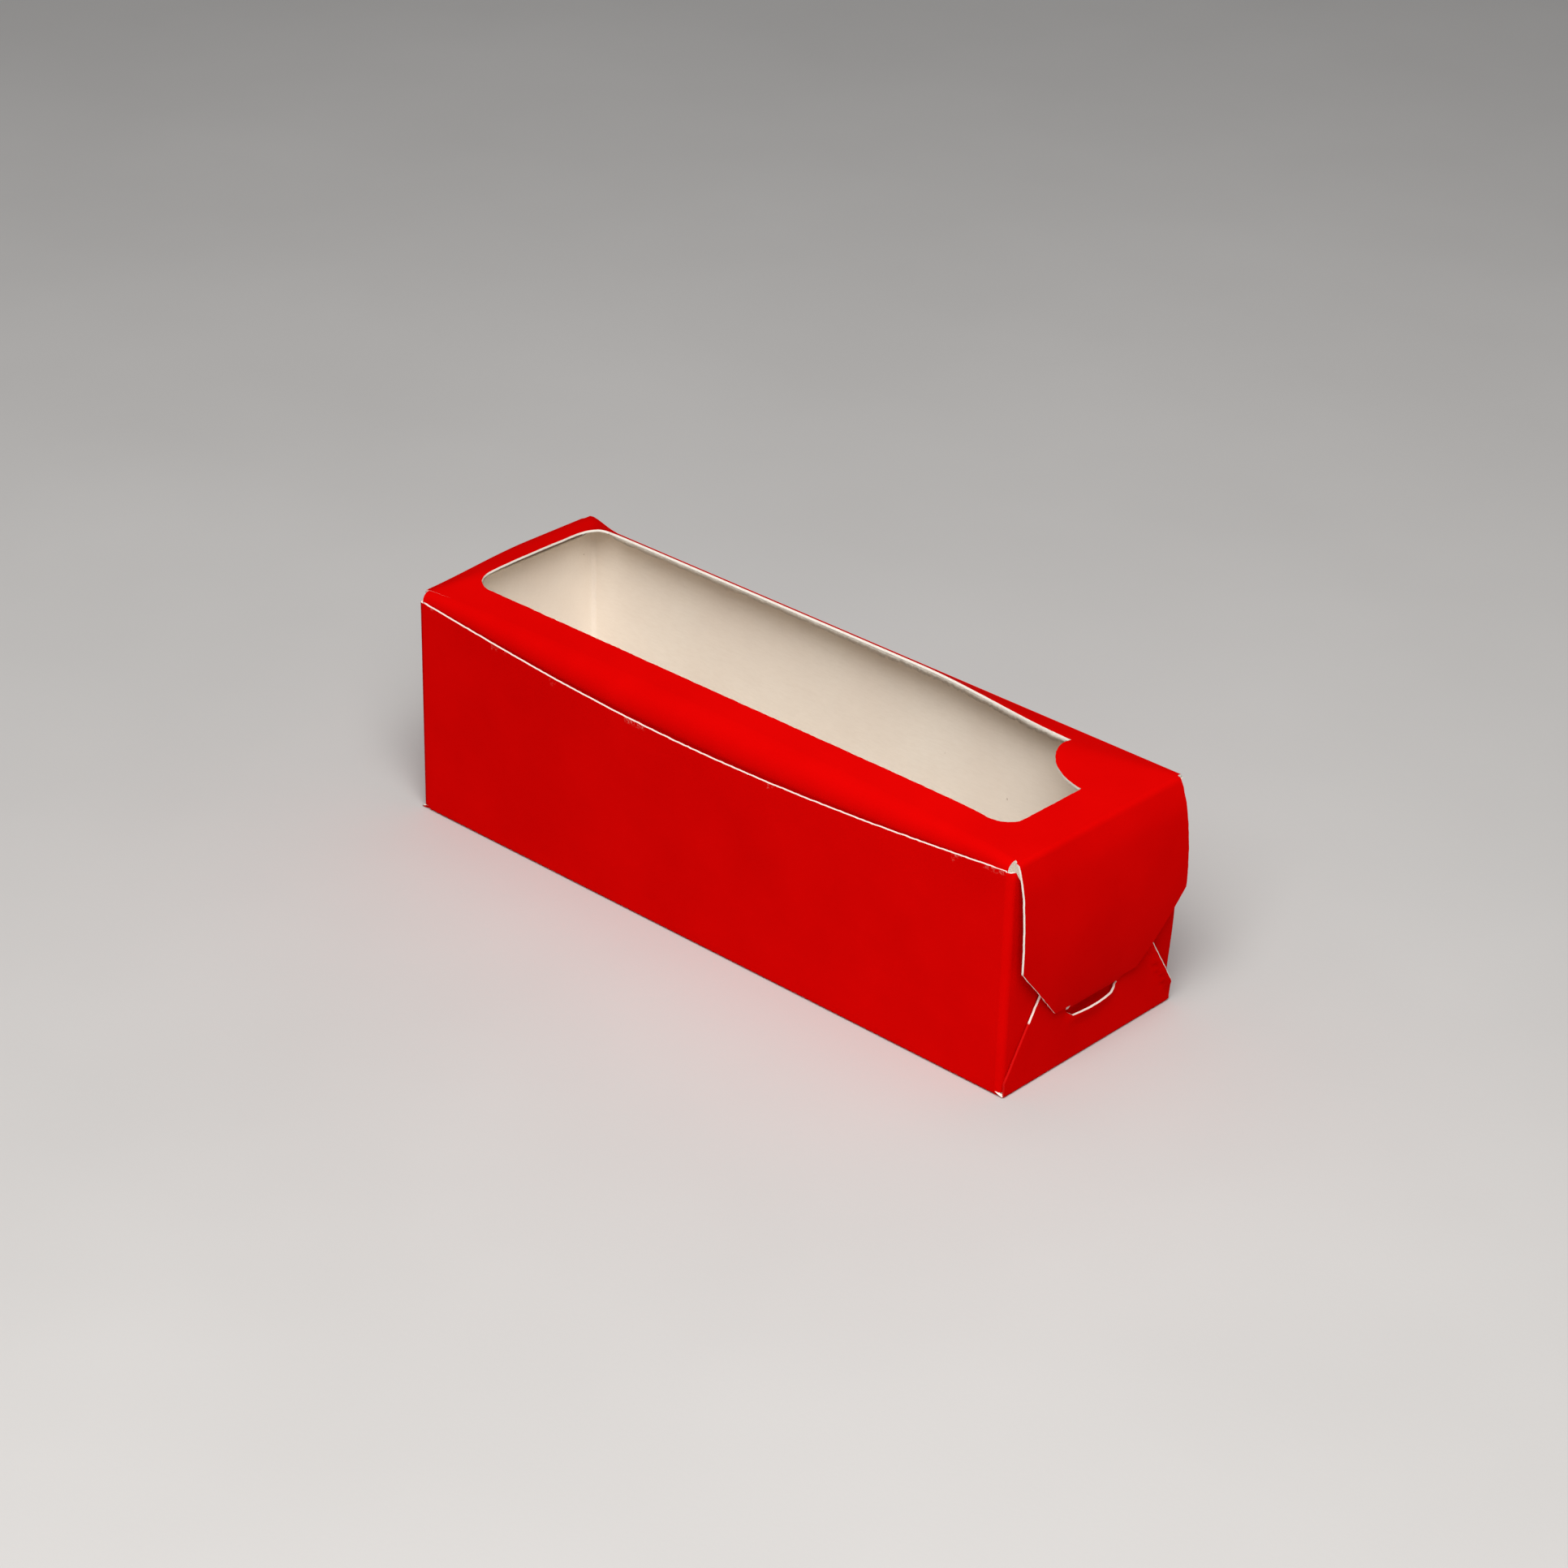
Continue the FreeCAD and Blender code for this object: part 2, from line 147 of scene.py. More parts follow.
def trace(corners, step=1.0, closed=True):
    """Points along an outline; a corner is (x, y), or (x, y, centre) where a short arc leads on."""
    points = []
    for i, corner in enumerate(corners if closed else corners[:-1]):
        start, finish = Vector(corner[:2]), Vector(corners[(i + 1) % len(corners)][:2])
        if len(corner) == 2:
            count = max(1, round((finish - start).length / step))
            points += [start.lerp(finish, k / count) for k in range(count)]
            continue
        centre = Vector(corner[2])
        radius = (start - centre).length
        first = math.atan2(start.y - centre.y, start.x - centre.x)
        last = math.atan2(finish.y - centre.y, finish.x - centre.x)
        sweep = (last - first + math.pi) % (2 * math.pi) - math.pi
        count = max(2, round(abs(sweep) * radius / step))
        for k in range(count):
            angle = first + sweep * k / count
            points.append(centre + Vector((math.cos(angle), math.sin(angle))) * radius)
    return points if closed else points + [Vector(corners[-1][:2])]


def mirror(half):
    """A right half, listed from its start to the middle line, with its mirror image after it."""
    return half + [(-s, t) for s, t in reversed(half)]


def ragged(points, seed, size, free=lambda p: True):
    """The outline with the slight waver of a die-cut edge, left exact where it isn't free."""
    out = []
    for p in points:
        spot = Vector((p.x * 0.9, p.y * 0.9, seed * 7.3))
        shift = Vector((noise.noise(spot), noise.noise(spot + Vector((31, 17, 5))))) * size
        out.append(p + shift if free(p) else p.copy())
    return out


def inside(rings, spots):
    """Which spots, an array of (x, y), lie inside the rings, by the even-odd rule."""
    odd = np.zeros(len(spots), bool)
    for ring in rings:
        a = np.array([tuple(p) for p in ring])
        b = np.roll(a, -1, axis=0)
        for (ax, ay), (bx, by) in zip(a, b):
            if ay == by:
                continue
            crosses = (spots[:, 1] < ay) != (spots[:, 1] < by)
            odd ^= crosses & (spots[:, 0] < ax + (spots[:, 1] - ay) * (bx - ax) / (by - ay))
    return odd


# ---- sheets of board -----------------------------------------------------------------------------


def grid_points(rings, cell, rows):
    """Points inside the rings on a grid of cell, with extra rows at the given t."""
    edge = np.array([tuple(p) for ring in rings for p in ring])
    lo, hi = edge.min(axis=0), edge.max(axis=0)
    across = np.arange(lo[0] + cell / 2, hi[0], cell)
    up = [t for t in np.arange(lo[1] + cell / 2, hi[1], cell) if not rows or t > max(rows) + cell / 3]
    spots = np.array([(s, t) for t in [*rows, *up] for s in across])
    spots = spots[inside(rings, spots)]
    far = [np.min(np.hypot(*(edge - p).T)) > 0.4 for p in spots]
    return [Vector(p) for p in spots[np.array(far, bool)]]


def triangulate(rings, cell, rows, facing):
    """The corners and triangles of the flat region of the rings, wound for an outer face along facing."""
    flat, edges = [], []
    for ring in rings:
        first = len(flat)
        flat += ring
        edges += [(first + i, first + (i + 1) % len(ring)) for i in range(len(ring))]
    flat = flat + grid_points(rings, cell, rows)
    spots, _, triangles, *_ = geometry.delaunay_2d_cdt(flat, edges, [], 0, 1e-6)
    corners = np.array([tuple(p) for p in spots])
    triangles = np.array([tuple(t) for t in triangles])
    triangles = triangles[inside(rings, corners[triangles].mean(axis=1))]
    a, b, c = (corners[triangles[:, k]] for k in range(3))
    area = (b[:, 0] - a[:, 0]) * (c[:, 1] - a[:, 1]) - (b[:, 1] - a[:, 1]) * (c[:, 0] - a[:, 0])
    triangles = triangles[np.abs(area) > 1e-7]
    area = area[np.abs(area) > 1e-7]
    turned = area * facing < 0
    triangles[turned] = triangles[turned][:, ::-1]
    used, triangles = np.unique(triangles, return_inverse=True)
    return corners[used], triangles.reshape(-1, 3)


def inner_face(outer, triangles):
    """The points one board's thickness behind the outer ones."""
    first, second, third = (outer[triangles[:, k]] for k in range(3))
    slopes = np.cross(second - first, third - first)
    normals = np.zeros_like(outer)
    for k in range(3):
        np.add.at(normals, triangles[:, k], slopes)
    normals /= np.linalg.norm(normals, axis=1)[:, None]
    return outer - normals * BOARD


def open_edges(triangles):
    """The directed edges that only one triangle has, in order."""
    directed = {(int(t[k]), int(t[(k + 1) % 3])) for t in triangles for k in range(3)}
    return [(p, q) for p, q in sorted(directed) if (q, p) not in directed]


def sharpen_rim(mesh, border, count):
    """Mark the edges of both faces as sharp all round."""
    rim = {tuple(sorted((p + shift, q + shift))) for p, q in border for shift in (0, count)}
    for edge in mesh.edges:
        edge.use_edge_sharp = tuple(sorted(edge.vertices)) in rim


def sheet(name, rings, place, facing, cell=2.0, rows=(), worn=None):
    """A closed sheet of board: the flat region of the rings, folded by place.

    facing is 1 where (s, t) run anticlockwise as seen from outside, and -1 where they run clockwise.
    worn gives the wear at (s, t), from 0 to 1, or below 0 where a cut edge is crushed flat.
    """
    corners, triangles = triangulate(rings, cell, rows, facing)
    outer = np.array([tuple(place(s, t)) for s, t in corners])
    inner = inner_face(outer, triangles)
    border = open_edges(triangles)
    count = len(outer)
    faces = [tuple(map(int, t)) for t in triangles]
    faces += [tuple(int(v) + count for v in reversed(t)) for t in triangles]
    faces += [(q, p, p + count, q + count) for p, q in border]

    mesh = bpy.data.meshes.new(name)
    mesh.from_pydata((np.vstack([outer, inner]) * MM).tolist(), [], faces)
    kinds = [0] * len(triangles) + [1] * len(triangles) + [2] * len(border)
    mesh.polygons.foreach_set("material_index", kinds)
    mesh.polygons.foreach_set("use_smooth", [True] * len(faces))
    sharpen_rim(mesh, border, count)
    wear = mesh.attributes.new("wear", "FLOAT", "POINT")
    amount = [worn(s, t) if worn else 0.0 for s, t in corners]
    wear.data.foreach_set("value", amount + amount)
    for material in (RED, INNER, CUT):
        mesh.materials.append(material)
    return board_object(name, mesh)


def board_object(name, mesh):
    """A mesh put into the scene as a piece of the printed board."""
    mesh.update()
    piece = bpy.data.objects.new(name, mesh)
    bpy.context.scene.collection.objects.link(piece)
    return piece


class Fold:
    """A crease: from origin, board that ran towards out turns through an angle to run along away."""

    def __init__(self, origin, along, out, away, radius, turn=90):
        self.origin, self.along, self.out, self.away = origin, along, out, away
        self.radius, self.bend = radius, math.radians(turn)
        self.length = radius * self.bend

    def at(self, s, t):
        """The point of the outer face at s along the crease and t past its start."""
        angle = min(max(t / self.radius, 0), self.bend)
        beyond = max(t - self.length, 0)
        point = self.origin + self.along * s
        point += self.out * (self.radius * math.sin(angle) + math.cos(self.bend) * beyond)
        point += self.away * (self.radius * (1 - math.cos(angle)) + math.sin(self.bend) * beyond)
        return point

    def facing(self):
        """1 where (s, t) run anticlockwise as seen from outside, else -1."""
        return 1 if self.along.cross(self.away).dot(self.out) > 0 else -1

    def rows(self):
        """The t of each row of points round the fold."""
        return [self.length * k / 10 for k in range(1, 11)]

    def past(self, distance):
        """The t of a place at this distance from the origin, measured along away."""
        return self.length + distance - self.radius


def hinge(piece, node, fold):
    """Bake the piece's placement into its mesh, in place of its CAD node, which is hidden."""
    edge, end = fold.at(0, 0), fold.at(0, fold.length)
    share = BOARD / (2 * fold.radius)
    edge.lerp(end, share) * MM
    edge.lerp(end, 1 - share) * MM
    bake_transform(piece)
    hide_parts(node)


# ---- materials -----------------------------------------------------------------------------------


class Paint:
    """A material under construction: short calls that add one node each and return its output."""

    def __init__(self, name):
        self.material = bpy.data.materials.new(name)
        self.material.use_nodes = True
        self.nodes = self.material.node_tree.nodes
        self.links = self.material.node_tree.links
        self.shader = self.nodes["Principled BSDF"]
        self.place = self.nodes.new("ShaderNodeTexCoord").outputs["Object"]

    def feed(self, socket, source):
        """A link where source is an output, else a plain value."""
        if isinstance(source, bpy.types.NodeSocket):
            self.links.new(source, socket)
        else:
            socket.default_value = source

    def stretched(self, scale):
        """The object's coordinates, scaled differently along each axis."""
        node = self.nodes.new("ShaderNodeMapping")
        self.feed(node.inputs["Vector"], self.place)
        node.inputs["Scale"].default_value = scale
        return node.outputs["Vector"]

    def cloud(self, scale, detail=3.0, rough=0.5, place=None):
        """Smooth noise from 0 to 1."""
        node = self.nodes.new("ShaderNodeTexNoise")
        self.feed(node.inputs["Vector"], place or self.place)
        node.inputs["Scale"].default_value = scale
        node.inputs["Detail"].default_value = detail
        node.inputs["Roughness"].default_value = rough
        return node.outputs["Fac"]

    def attribute(self, name):
        """A number stored on the mesh."""
        node = self.nodes.new("ShaderNodeAttribute")
        node.attribute_name = name
        return node.outputs["Fac"]

    def maths(self, kind, first, second):
        """One sum of two numbers."""
        node = self.nodes.new("ShaderNodeMath")
        node.operation = kind
        self.feed(node.inputs[0], first)
        self.feed(node.inputs[1], second)
        return node.outputs["Value"]

    def spread(self, value, from_low, from_high, to_low, to_high):
        """The value moved from one range to another, held at its ends."""
        node = self.nodes.new("ShaderNodeMapRange")
        self.feed(node.inputs["Value"], value)
        for name, number in (
            ("From Min", from_low), ("From Max", from_high), ("To Min", to_low), ("To Max", to_high),
        ):
            node.inputs[name].default_value = number
        return node.outputs["Result"]

    def mix(self, share, first, second):
        """Two colours mixed."""
        node = self.nodes.new("ShaderNodeMix")
        node.data_type = "RGBA"
        self.feed(node.inputs["Factor"], share)
        self.feed(node.inputs[6], first)
        self.feed(node.inputs[7], second)
        return node.outputs[2]

    def bump(self, height, depth, strength, under=None):
        """A bump of this depth in metres."""
        node = self.nodes.new("ShaderNodeBump")
        node.inputs["Strength"].default_value = strength
        node.inputs["Distance"].default_value = depth
        self.feed(node.inputs["Height"], height)
        if under:
            self.feed(node.inputs["Normal"], under)
        return node.outputs["Normal"]


def red_print():
    """Satin red print: slight mottle, fine board texture, and bare board where an edge is rubbed."""
    paint = Paint("red_print")
    mottle = paint.spread(paint.cloud(55, 4), 0.3, 0.7, 0, 1)
    red = paint.mix(mottle, (0.655, 0.0008, 0.0005, 1), (0.715, 0.0012, 0.0008, 1))
    grain = paint.cloud(5200, 2, 0.6)
    red = paint.mix(paint.spread(grain, 0.35, 0.65, 0.0, 0.12), red, (0.50, 0.0006, 0.0004, 1))
    patches = paint.spread(paint.cloud(1500, 4, 0.7), 0.5, 0.72, 0, 1)
    scuff = paint.maths("MULTIPLY", paint.attribute("wear"), patches)
    colour = paint.mix(scuff, red, (0.86, 0.52, 0.44, 1))
    paint.feed(paint.shader.inputs["Base Color"], colour)
    gloss = paint.spread(paint.cloud(90, 3), 0.3, 0.7, 0.46, 0.56)
    gloss = paint.maths("ADD", gloss, paint.maths("MULTIPLY", scuff, 0.3))
    paint.feed(paint.shader.inputs["Roughness"], gloss)
    paint.shader.inputs["Specular IOR Level"].default_value = 0.012
    paint.shader.inputs["IOR"].default_value = 1.1
    waves = paint.bump(paint.cloud(70, 2), 0.0006, 0.25)
    paint.feed(paint.shader.inputs["Normal"], paint.bump(grain, 0.00003, 0.35, waves))
    return paint.material


def inner_board():
    """Uncoated off-white board: soft mottle, short fibres and a few darker flecks."""
    paint = Paint("inner_board")
    mottle = paint.spread(paint.cloud(40, 5), 0.3, 0.7, 0, 1)
    white = paint.mix(mottle, (0.92, 0.83, 0.74, 1), (0.98, 0.91, 0.82, 1))
    fibre = paint.cloud(420, 5, 0.75, paint.stretched((1, 5, 5)))
    white = paint.mix(paint.spread(fibre, 0.42, 0.7, 0, 0.3), white, (0.84, 0.75, 0.65, 1))
    fleck = paint.spread(paint.cloud(650, 1), 0.79, 0.83, 0, 0.7)
    paint.feed(paint.shader.inputs["Base Color"], paint.mix(fleck, white, (0.36, 0.28, 0.20, 1)))
    paint.feed(paint.shader.inputs["Roughness"], paint.spread(fibre, 0.3, 0.7, 0.78, 0.92))
    paint.shader.inputs["Specular IOR Level"].default_value = 0.2
    paint.feed(paint.shader.inputs["Normal"], paint.bump(fibre, 0.00005, 0.5))
    return paint.material


def cut_board():
    """The cut edge: pale, loose fibre, or red where it is crushed flat (wear below zero)."""
    paint = Paint("cut_board")
    fuzz = paint.cloud(2600, 4, 0.75)
    colour = paint.mix(paint.spread(fuzz, 0.3, 0.7, 0, 1), (0.88, 0.80, 0.71, 1), (0.99, 0.96, 0.91, 1))
    crushed = paint.spread(paint.attribute("wear"), -0.6, -0.2, 1, 0)
    colour = paint.mix(crushed, colour, (0.60, 0.0012, 0.0008, 1))
    paint.feed(paint.shader.inputs["Base Color"], colour)
    paint.feed(paint.shader.inputs["Roughness"], paint.spread(fuzz, 0.3, 0.7, 0.85, 0.97))
    paint.shader.inputs["Specular IOR Level"].default_value = 0.15
    paint.feed(paint.shader.inputs["Normal"], paint.bump(fuzz, 0.00008, 0.8))
    return paint.material


def pale_floor():
    """A plain pale floor with a faint tooth."""
    paint = Paint("pale_floor")
    tone = paint.spread(paint.cloud(9, 3), 0.3, 0.7, 0, 1)
    paint.feed(
        paint.shader.inputs["Base Color"], paint.mix(tone, (0.60, 0.59, 0.585, 1), (0.63, 0.62, 0.615, 1))
    )
    paint.shader.inputs["Roughness"].default_value = 0.8
    paint.feed(paint.shader.inputs["Normal"], paint.bump(paint.cloud(900, 2), 0.0001, 0.15))
    return paint.material


RED, INNER, CUT = red_print(), inner_board(), cut_board()


# ---- the walls and the floor of the box ----------------------------------------------------------


def bottom():
    """The floor of the box, between the starts of its four folds."""
    x, y = HALF_LENGTH - BASE_ROLL, HALF_WIDTH - BASE_ROLL
    ring = trace([(-x, -y), (x, -y), (x, y), (-x, y)], 2)
    piece = sheet("bottom_board", [ring], lambda s, t: Vector((s, t, 0)), -1, 3)
    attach(piece, "bottom")
    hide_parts("bottom_panel")


def wall_corners(fold, top):
    """The lower corners of a side wall's flat outline: its foot reaches out under the dust flaps."""
    flat = DUST_FACE - CORNER_ROLL
    foot = HALF_LENGTH - 0.4
    knee = fold.length + 0.4
    return [(-flat, top), (-flat, knee), (-foot, fold.length * 0.6), (-foot, 0), (foot, 0),
            (foot, fold.length * 0.6), (flat, knee)]


def wall_bulge(x, z):
    """How far the front wall swells out at a point: most at the middle of its free top edge."""
    return WALL_BULGE * crown(x, DUST_FACE - CORNER_ROLL) * ease(z / FRONT_EDGE_MIDDLE)


def corner_tip(x, t):
    """Wear on the tips of the box's lower corners."""
    return ease(1 - math.hypot(HALF_LENGTH - abs(x), t) / 1.6)


def front_wall():
    """The front wall, with its hollow top edge, bulged outward at the middle."""
    fold = Fold(Vector((0, -HALF_WIDTH + BASE_ROLL, 0)), X, -Y, Z, BASE_ROLL)
    flat = DUST_FACE - CORNER_ROLL
    dip = FRONT_EDGE_END - FRONT_EDGE_MIDDLE
    radius = (flat * flat + dip * dip) / (2 * dip)
    top = fold.past(FRONT_EDGE_END)
    centre = (0, top - dip + radius)
    corners = wall_corners(fold, top) + [(flat, top, centre)]
    ring = ragged(trace(corners), 1, 0.12, lambda p: p.y > 40 and abs(p.x) < flat - 0.5)

    def place(s, t):
        point = fold.at(s, t)
        return point - Y * wall_bulge(s, point.z)

    def worn(s, t):
        edge = centre[1] - math.sqrt(radius * radius - s * s)
        nick = 0.7 * ease(1 - (edge - t) / 0.4) * ease(noise.noise(Vector((s * 0.25, 4.4, 0))) * 6 - 2)
        return nick + corner_tip(s, t)

    piece = sheet("front_wall_board", [ring], place, fold.facing(), 2, fold.rows(), worn)
    hinge(piece, "front_wall", fold)


def back_wall():
    """The back wall, up to the start of the lid's fold."""
    fold = Fold(Vector((0, HALF_WIDTH - BASE_ROLL, 0)), -X, Y, Z, BASE_ROLL)
    flat = DUST_FACE - CORNER_ROLL
    top = fold.past(TOP - LID_ROLL)
    shoulder = fold.past(DUST_HEIGHT)
    wide = HALF_LENGTH - 0.8
    corners = wall_corners(fold, shoulder) + [(flat, shoulder), (wide, top), (-wide, top)]
    piece = sheet("back_wall_board", [trace(corners)], fold.at, fold.facing(), 2, fold.rows(), corner_tip)
    hinge(piece, "back_wall", fold)


def dust_flap(side, wall):
    """A dust flap, round the upright corner from a side wall."""
    x_sign = 1 if side == "right" else -1
    y_sign = -1 if wall == "front" else 1
    origin = Vector((x_sign * (DUST_FACE - CORNER_ROLL), y_sign * HALF_WIDTH, 0))
    fold = Fold(origin, Z, X * x_sign, -Y * y_sign, CORNER_ROLL)
    name = f"{side}_{wall}_dust_flap"
    tip = high(name).y if wall == "front" else -low(name).y
    depth = fold.past(HALF_WIDTH + tip)
    # a shoulder beside the wall, then the flap's own top, with a small round outer corner
    relief, radius, top = fold.length + 2.2, DUST_RADIUS, DUST_TOP[wall]
    corners = [
        (DUST_FOOT, 0),
        (DUST_FOOT, depth),
        (top - radius, depth, (top - radius, depth - radius)),
        (top, depth - radius),
        (top, relief),
        (DUST_HEIGHT, fold.length * 0.9),
        (DUST_HEIGHT, 0),
    ]
    ring = ragged(trace(corners), 3 + x_sign + 0.5 * y_sign, 0.1, lambda p: p.y > 1.5)
    # the right end's back corner has swelled out beside the flaps that cover it
    swelling = CORNER_SWELL if name == "right_back_dust_flap" else 0

    def place(s, t):
        point = fold.at(s, t)
        share = ease((point.y - 19) / 7) * crown(s - 26, 24) * ease(t / fold.length)
        return point + X * swelling * share

    piece = sheet(f"{name}_board", [ring], place, fold.facing(), 2, fold.rows())
    hinge(piece, name, fold)


# ---- the lid and its tuck flap -------------------------------------------------------------------


def roll_radius(x):
    """The outside radius of the lid's soft front roll: wide in the middle and tight at the ends."""
    return ROLL_END + (ROLL_MIDDLE - ROLL_END) * (1 - (x / HALF_LENGTH) ** 2)


def lid_front(x):
    """Where the lid begins to roll down at its front, which bows out with the wall."""
    slope = math.atan(RISE_FRONT / (WINDOW_FRONT + HALF_WIDTH))
    return LID_FRONT - LID_BULGE * crown(x, TUCK_HALF) + roll_radius(x) * (1 - math.sin(slope))


def back_spring(x):
    """How much of its full rise the back border keeps: all on the left, and much less beside the lobe."""
    return 1 - (1 - BACK_REST) * ease((x - 22) / 42)


def lid_rise(x, y):
    """How high the lid stands over its own plane: four borders slope up from their creases."""
    back_edge = HALF_WIDTH - LID_ROLL
    end = HALF_LENGTH - END_ROLL
    slopes = (
        RISE_FRONT * (y + HALF_WIDTH) / (WINDOW_FRONT + HALF_WIDTH),
        RISE_BACK * back_spring(x) * (back_edge - y) / (back_edge - WINDOW_BACK),
        RISE_LEFT * (end + x) / (end + WINDOW_LEFT),
        RISE_RIGHT * (end - x) / (end - WINDOW_RIGHT),
    )
    if min(slopes) <= 0:
        return 0.0
    # one over the sum of high powers: the lowest slope wins, with the mitres rounded off
    return sum(slope ** -5 for slope in slopes) ** -0.2


def left_lift(y):
    """How far the lid's left crease has lifted: not at the front corner, and fully towards the back."""
    return LEFT_LIFT * ease((y + HALF_WIDTH) / 35)


def window_ring(fold):
    """The window in the lid's (s, t): three rounded corners, and a convex lobe left in the fourth."""
    left, right, front, back = WINDOW_LEFT, WINDOW_RIGHT, WINDOW_FRONT, WINDOW_BACK
    turn, lobe = WINDOW_RADIUS, LOBE_RADIUS
    corners = [
        (left + turn, front),
        (right - turn, front, (right - turn, front + turn)),
        (right, front + turn),
        (right, back - lobe, (right, back)),
        (right - lobe, back),
        (left + turn, back, (left + turn, back - turn)),
        (left, back - turn),
        (left, front + turn, (left + turn, front + turn)),
    ]
    points = ragged(trace(corners, 0.8), 11, 0.14)
    return [Vector((p.x, fold.past(HALF_WIDTH - p.y))) for p in points]


def lid():
    """The lid with its window, its borders sprung up."""
    fold = Fold(Vector((0, HALF_WIDTH, TOP - LID_ROLL)), X, Z, -Y, LID_ROLL)
    end = HALF_LENGTH - END_ROLL
    across = np.arange(ROLL_HALF, -ROLL_HALF, -1.0)
    front = [Vector((x, fold.past(HALF_WIDTH - lid_front(x)))) for x in across]
    # past the roll the lid is simply cut, and rounded off
    lip = fold.past(HALF_WIDTH - lid_front(ROLL_HALF))
    corners = [
        (-ROLL_HALF, lip),
        (-end, lip + 0.5),
        (-end, 0),
        (end, 0),
        (end, lip + 0.5),
        (ROLL_HALF, lip),
    ]
    # the last point is the front's first one
    ring = front + trace(corners, closed=False)[:-1]

    def place(s, t):
        point = fold.at(s, t)
        if t > fold.length:
            point += Z * lid_rise(s, point.y)
        return point + Z * left_lift(point.y) * ease(1 - (end + s) / 9) * ease(t / fold.length)

    def worn(s, t):
        return ease(1 - math.hypot(end - abs(s), t) / 1.2)

    rings = [ring, window_ring(fold)]
    piece = sheet("lid_board", rings, place, fold.facing(), 1.5, fold.rows(), worn)
    hinge(piece, "lid_panel", fold)


def roll_down(x, share):
    """A point of the lid's front roll, share of the way round it, and its slope below the level there."""
    y = lid_front(x)
    lift = lid_rise(x, y)
    first = math.atan((lid_rise(x, y + 0.2) - lift) / 0.2)
    slope = first + (math.radians(TUCK_TURN) - first) * share
    radius = roll_radius(x)
    y -= radius * (math.sin(slope) - math.sin(first))
    return Vector((x, y, TOP + lift - radius * (math.cos(first) - math.cos(slope)))), slope


def tuck_flap():
    """The tuck flap: a soft roll down from the lid, then a lean inward behind the front wall."""
    depth, taper = 16, 5
    half = [
        (ROLL_HALF, 0),
        (ROLL_HALF - 0.2, ROLL_LENGTH),
        (TUCK_HALF, ROLL_LENGTH + 1.5),
        (TUCK_HALF, depth - taper),
        (TUCK_HALF - taper, depth),
    ]
    ring = ragged(trace(mirror(half)), 21, 0.1, lambda p: p.y > ROLL_LENGTH)

    def place(s, t):
        point, slope = roll_down(s, min(t / ROLL_LENGTH, 1))
        drop = (point.z - TUCK_BOTTOM) * max(t - ROLL_LENGTH, 0) / (depth - ROLL_LENGTH)
        return point - Z * drop - Y * drop / math.tan(slope)

    rows = [ROLL_LENGTH * k / 12 for k in range(1, 13)]
    piece = sheet("tuck_flap_board", [ring], place, -1, 2, rows)
    end = roll_down(0, 1)[0]
    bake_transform(piece)
    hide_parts("tuck_flap")


# ---- the end flaps -------------------------------------------------------------------------------


def upper_flap(side):
    """The lid's end flap: bowed outward, its corners cut off, its tongue pushed into the slit below."""
    sign = 1 if side == "right" else -1
    fold = Fold(Vector((sign * (HALF_LENGTH - END_ROLL), 0, TOP)), Y * sign, X * sign, -Z, END_ROLL)

    def down(z):
        return fold.past(TOP - z)

    wide = UPPER_HALF if side == "right" else UPPER_HALF - LEFT_TRIM
    half = [
        (wide, 0),
        (wide, down(UPPER_SHOULDER)),
        (UPPER_NOSE_HALF, down(UPPER_NOSE)),
        (TONGUE_ROOT, down(UPPER_NOSE)),
        (TONGUE_TIP, down(TONGUE_END)),
    ]
    ring = ragged(trace(mirror(half)), 31 + sign, 0.12, lambda p: p.y > 1.5)
    middle = (TOP + UPPER_TIP) / 2
    reach = (TOP - UPPER_TIP) / 2
    # only the right flap has bowed out; the left one lies flat against the end
    bow = RIGHT_BOW if side == "right" else 0

    def place(s, t):
        point = fold.at(s, t)
        share = (point.z - middle) / reach
        slack = bow - FRONT_SLACK * ease(-point.y / UPPER_HALF) if bow else 0
        swell = slack * max(1 - share * share, 0) + FLAP_STAND * ease((TOP - END_ROLL - point.z) / 6)
        dive = TONGUE_DIVE * ease((UPPER_NOSE - 0.2 - point.z) / 3.6)
        lift = left_lift(point.y) * ease(1 - t / 14) if side == "left" else 0
        past_fold = ease((t - fold.length * 0.5) / fold.length)
        return point + X * sign * (swell - dive) * past_fold + Z * lift

    piece = sheet(f"{side}_upper_flap_board", [ring], place, fold.facing(), 1.5, fold.rows())
    hinge(piece, f"{side}_upper_end_flap", fold)


